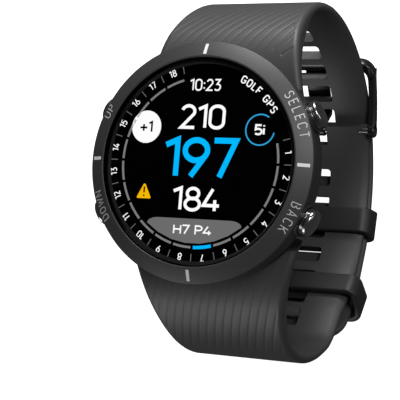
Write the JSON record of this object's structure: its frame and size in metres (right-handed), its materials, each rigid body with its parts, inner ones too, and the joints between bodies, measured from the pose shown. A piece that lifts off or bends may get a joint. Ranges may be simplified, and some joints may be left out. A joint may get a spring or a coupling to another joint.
{
  "type": "golf gps watch",
  "caption": "Round wrist-worn golf GPS watch with a glass display, side push buttons, and a slotted rubber strap closed in a loop by a tang buckle and keepers.",
  "frame": {"origin": "centre of the case back face that rests on the wrist", "axes": "+Z out of the display, +Y towards 12 o'clock, +X towards 3 o'clock; the strap loop hangs below in -Z"},
  "size_m": [0.0448, 0.071, 0.0676],
  "materials": {
    "case_polymer": "fine matte fibre-reinforced moulding",
    "bezel_coating": "dark satin coating on turned metal",
    "steel": "polished and bead-blasted",
    "gunmetal": "polished dark steel",
    "black_metal": "gloss black coating",
    "seal_rubber": "smooth",
    "strap_rubber": "satin fluoroelastomer, finely textured",
    "keeper_rubber": "satin",
    "lens_glass": "polished hard glass",
    "display_black": "colour display, bonded black",
    "board_green": "solder mask",
    "bracket_plastic": "moulded",
    "flex_film": "polyimide film",
    "shield_steel": "stamped tin plate",
    "antenna_ceramic": "fired ceramic",
    "coil_copper": "enamelled copper",
    "cell_foil": "pouch foil",
    "weight_metal": "sintered heavy alloy",
    "switch_plastic": "moulded switch bodies",
    "contact_gold": "gold plated"
  },
  "bodies": {
    "watch_head": {"case_body": "case_polymer", "bezel": "bezel_coating", "bezel_gasket": "seal_rubber", "lens": "lens_glass", "lens_gasket": "seal_rubber", "display_module": "display_black", "display_bracket": "bracket_plastic", "display_flex": "flex_film", "main_board": "board_green", "board_shield": "shield_steel", "gps_antenna": "antenna_ceramic", "tag_reader_coil": "coil_copper", "battery": "cell_foil", "motor_can": "shield_steel", "tact_switches": "switch_plastic", "case_back": "case_polymer", "case_back_seal": "seal_rubber", "case_screws": "steel", "charge_contacts": "contact_gold", "button_o_rings": "seal_rubber", "spring_select": "steel", "spring_back": "steel", "spring_down": "steel", "spring_up": "steel"},
    "select_pusher": {"button_select": "gunmetal", "clip_select": "steel"},
    "back_pusher": {"button_back": "gunmetal", "clip_back": "steel"},
    "down_pusher": {"button_down": "gunmetal", "clip_down": "steel"},
    "up_pusher": {"button_up": "gunmetal", "clip_up": "steel"},
    "motor_rotor": {"motor_weight": "weight_metal"},
    "long_strap": {"strap_upper": "strap_rubber", "spring_bar_upper": "steel", "bar_spring_upper": "steel"},
    "short_strap": {"strap_lower": "strap_rubber", "spring_bar_lower": "steel", "bar_spring_lower": "steel", "keeper_fixed": "keeper_rubber"},
    "pin_upper_left_body": {"pin_upper_left": "steel"},
    "pin_upper_right_body": {"pin_upper_right": "steel"},
    "pin_lower_left_body": {"pin_lower_left": "steel"},
    "pin_lower_right_body": {"pin_lower_right": "steel"},
    "free_keeper": {"keeper_free": "keeper_rubber"},
    "buckle": {"buckle_frame": "black_metal", "buckle_bar": "steel"},
    "buckle_tongue": {"tongue": "black_metal"}
  },
  "joints": [
    {"name": "select_press", "type": "slide", "parent": "watch_head", "child": "select_pusher", "axis": [-0.9063, -0.4226, 0], "range_m": [0, 0.0007], "stiffness_N_per_m": 400, "springref_m": -0.001, "deforming": ["spring_select"]},
    {"name": "back_press", "type": "slide", "parent": "watch_head", "child": "back_pusher", "axis": [-0.9063, 0.4226, 0], "range_m": [0, 0.0007], "stiffness_N_per_m": 400, "springref_m": -0.001, "deforming": ["spring_back"]},
    {"name": "down_press", "type": "slide", "parent": "watch_head", "child": "down_pusher", "axis": [0.9063, 0.4226, 0], "range_m": [0, 0.0007], "stiffness_N_per_m": 400, "springref_m": -0.001, "deforming": ["spring_down"]},
    {"name": "up_press", "type": "slide", "parent": "watch_head", "child": "up_pusher", "axis": [0.9063, -0.4226, 0], "range_m": [0, 0.0007], "stiffness_N_per_m": 400, "springref_m": -0.001, "deforming": ["spring_up"]},
    {"name": "motor_spin", "type": "hinge", "parent": "watch_head", "child": "motor_rotor", "pos_m": [0, 0.0106, 0.003], "axis": [0, 0, 1], "continuous": true},
    {"name": "long_strap_pivot", "type": "hinge", "parent": "watch_head", "child": "long_strap", "pos_m": [0, 0.0232, 0.0002], "axis": [1, 0, 0], "range_deg": [-0.2, 0.2]},
    {"name": "short_strap_pivot", "type": "hinge", "parent": "watch_head", "child": "short_strap", "pos_m": [0, -0.0232, 0.0002], "axis": [1, 0, 0], "range_deg": [-0.2, 0.2]},
    {"name": "pin_upper_left_slide", "type": "slide", "parent": "long_strap", "child": "pin_upper_left_body", "axis": [1, 0, 0], "range_m": [0, 0.0019], "stiffness_N_per_m": 500, "springref_m": -0.001, "deforming": ["bar_spring_upper"]},
    {"name": "pin_upper_right_slide", "type": "slide", "parent": "long_strap", "child": "pin_upper_right_body", "axis": [-1, 0, 0], "range_m": [0, 0.0019], "stiffness_N_per_m": 500, "springref_m": -0.001, "deforming": ["bar_spring_upper"]},
    {"name": "pin_lower_left_slide", "type": "slide", "parent": "short_strap", "child": "pin_lower_left_body", "axis": [1, 0, 0], "range_m": [0, 0.0019], "stiffness_N_per_m": 500, "springref_m": -0.001, "deforming": ["bar_spring_lower"]},
    {"name": "pin_lower_right_slide", "type": "slide", "parent": "short_strap", "child": "pin_lower_right_body", "axis": [-1, 0, 0], "range_m": [0, 0.0019], "stiffness_N_per_m": 500, "springref_m": -0.001, "deforming": ["bar_spring_lower"]},
    {"name": "keeper_slide", "type": "hinge", "parent": "short_strap", "child": "free_keeper", "pos_m": [0, 0, -0.017], "axis": [1, 0, 0], "range_deg": [-5, 18]},
    {"name": "buckle_pivot", "type": "hinge", "parent": "short_strap", "child": "buckle", "pos_m": [0, 0.01429, -0.0453], "axis": [-1, 0, 0], "range_deg": [0, 4]},
    {"name": "tongue_pivot", "type": "hinge", "parent": "buckle", "child": "buckle_tongue", "pos_m": [0, 0.01429, -0.0453], "axis": [-1, 0, 0], "range_deg": [0, 3]}
  ],
  "couplings": [
    {"joint": "short_strap_pivot", "follows": "long_strap_pivot", "ratio": -1}
  ]
}
